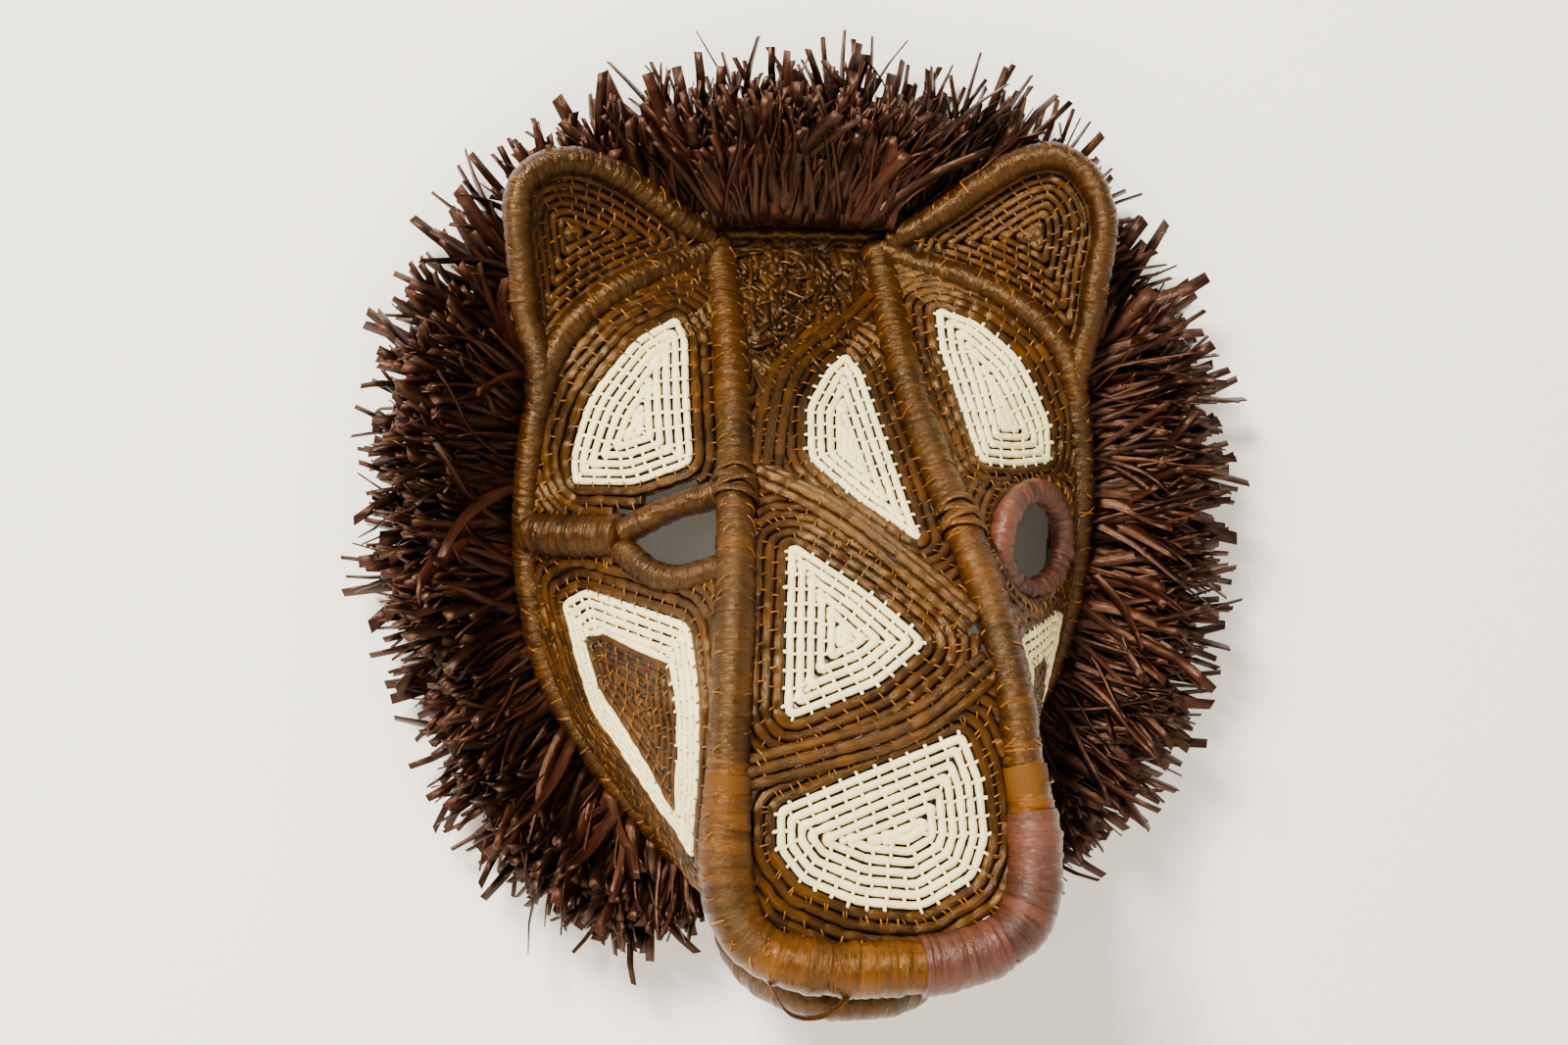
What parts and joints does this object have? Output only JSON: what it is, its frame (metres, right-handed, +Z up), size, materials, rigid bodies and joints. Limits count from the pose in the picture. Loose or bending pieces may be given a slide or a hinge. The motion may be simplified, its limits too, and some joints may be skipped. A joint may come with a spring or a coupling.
{
  "type": "wall mask",
  "caption": "Hollow coiled-fibre animal mask with wrapped ridges, rounded ears, inlaid coil panels, an open jaw and a fringed mane, made to hang flat on a wall.",
  "frame": {"origin": "crown of the back ring on the wall plane, at the middle of the mask's width", "axes": "+Z up, +X to the viewer's right, the face looks along -Y and +Y points into the wall"},
  "size_m": [0.3076, 0.155, 0.3161],
  "materials": {
    "fibre_core": "dry bundled palm fibre, matte",
    "wrap_tan": "glossy golden-brown split palm strip, tightly wound",
    "wrap_mauve": "satin mauve-brown split palm strip, tightly wound",
    "coil_brown": "satin brown coiled fibre rows with stitches",
    "coil_dark": "dark brown coiled fibre rows with stitches",
    "coil_cream": "matte cream coiled fibre rows with stitches",
    "mane_strip": "glossy dark red-brown split palm strips"
  },
  "bodies": {
    "root": {"arch_rib": "wrap_tan", "back_ring_core": "fibre_core", "back_ring_wrap": "wrap_tan", "crown_bar": "wrap_tan", "crown_panel": "coil_dark", "face_hoop_core": "fibre_core", "face_hoop_wrap": "wrap_tan", "jaw_core": "fibre_core", "jaw_panel": "coil_brown", "jaw_wrap": "wrap_tan", "left_back_wall": "coil_brown", "left_brow_bar": "wrap_tan", "left_cheek_band": "coil_cream", "left_cheek_border": "coil_brown", "left_cheek_center": "coil_brown", "left_ear_core": "fibre_core", "left_ear_panel": "coil_dark", "left_ear_wrap": "wrap_tan", "left_forehead_border": "coil_brown", "left_forehead_patch": "coil_cream", "left_lower_lid": "wrap_tan", "left_ridge_core": "fibre_core", "left_ridge_lashing": "wrap_tan", "left_ridge_lower_wrap": "wrap_tan", "left_ridge_upper_wrap": "wrap_tan", "left_upper_lid": "wrap_tan", "lip_core": "fibre_core", "lip_rewrap": "wrap_mauve", "lip_wrap_left": "wrap_tan", "lip_wrap_right": "wrap_tan", "lower_cross_rib": "wrap_tan", "mane_back_row": "mane_strip", "mane_left_row": "mane_strip", "mane_right_row": "mane_strip", "mane_top_row": "mane_strip", "muzzle_border": "coil_brown", "muzzle_patch": "coil_cream", "right_back_wall": "coil_brown", "right_cheek_band": "coil_cream", "right_cheek_border": "coil_brown", "right_cheek_center": "coil_brown", "right_ear_core": "fibre_core", "right_ear_panel": "coil_dark", "right_ear_wrap": "wrap_tan", "right_eye_ring_core": "fibre_core", "right_eye_ring_wrap": "wrap_mauve", "right_eye_surround": "coil_brown", "right_forehead_border": "coil_brown", "right_forehead_patch": "coil_cream", "right_ridge_core": "fibre_core", "right_ridge_lashing": "wrap_tan", "right_ridge_lower_wrap": "wrap_tan", "right_ridge_upper_wrap": "wrap_tan", "teardrop_border": "coil_brown", "teardrop_patch": "coil_cream", "triangle_border": "coil_brown", "triangle_patch": "coil_cream", "upper_cross_rib": "wrap_tan"}
  },
  "joints": []
}
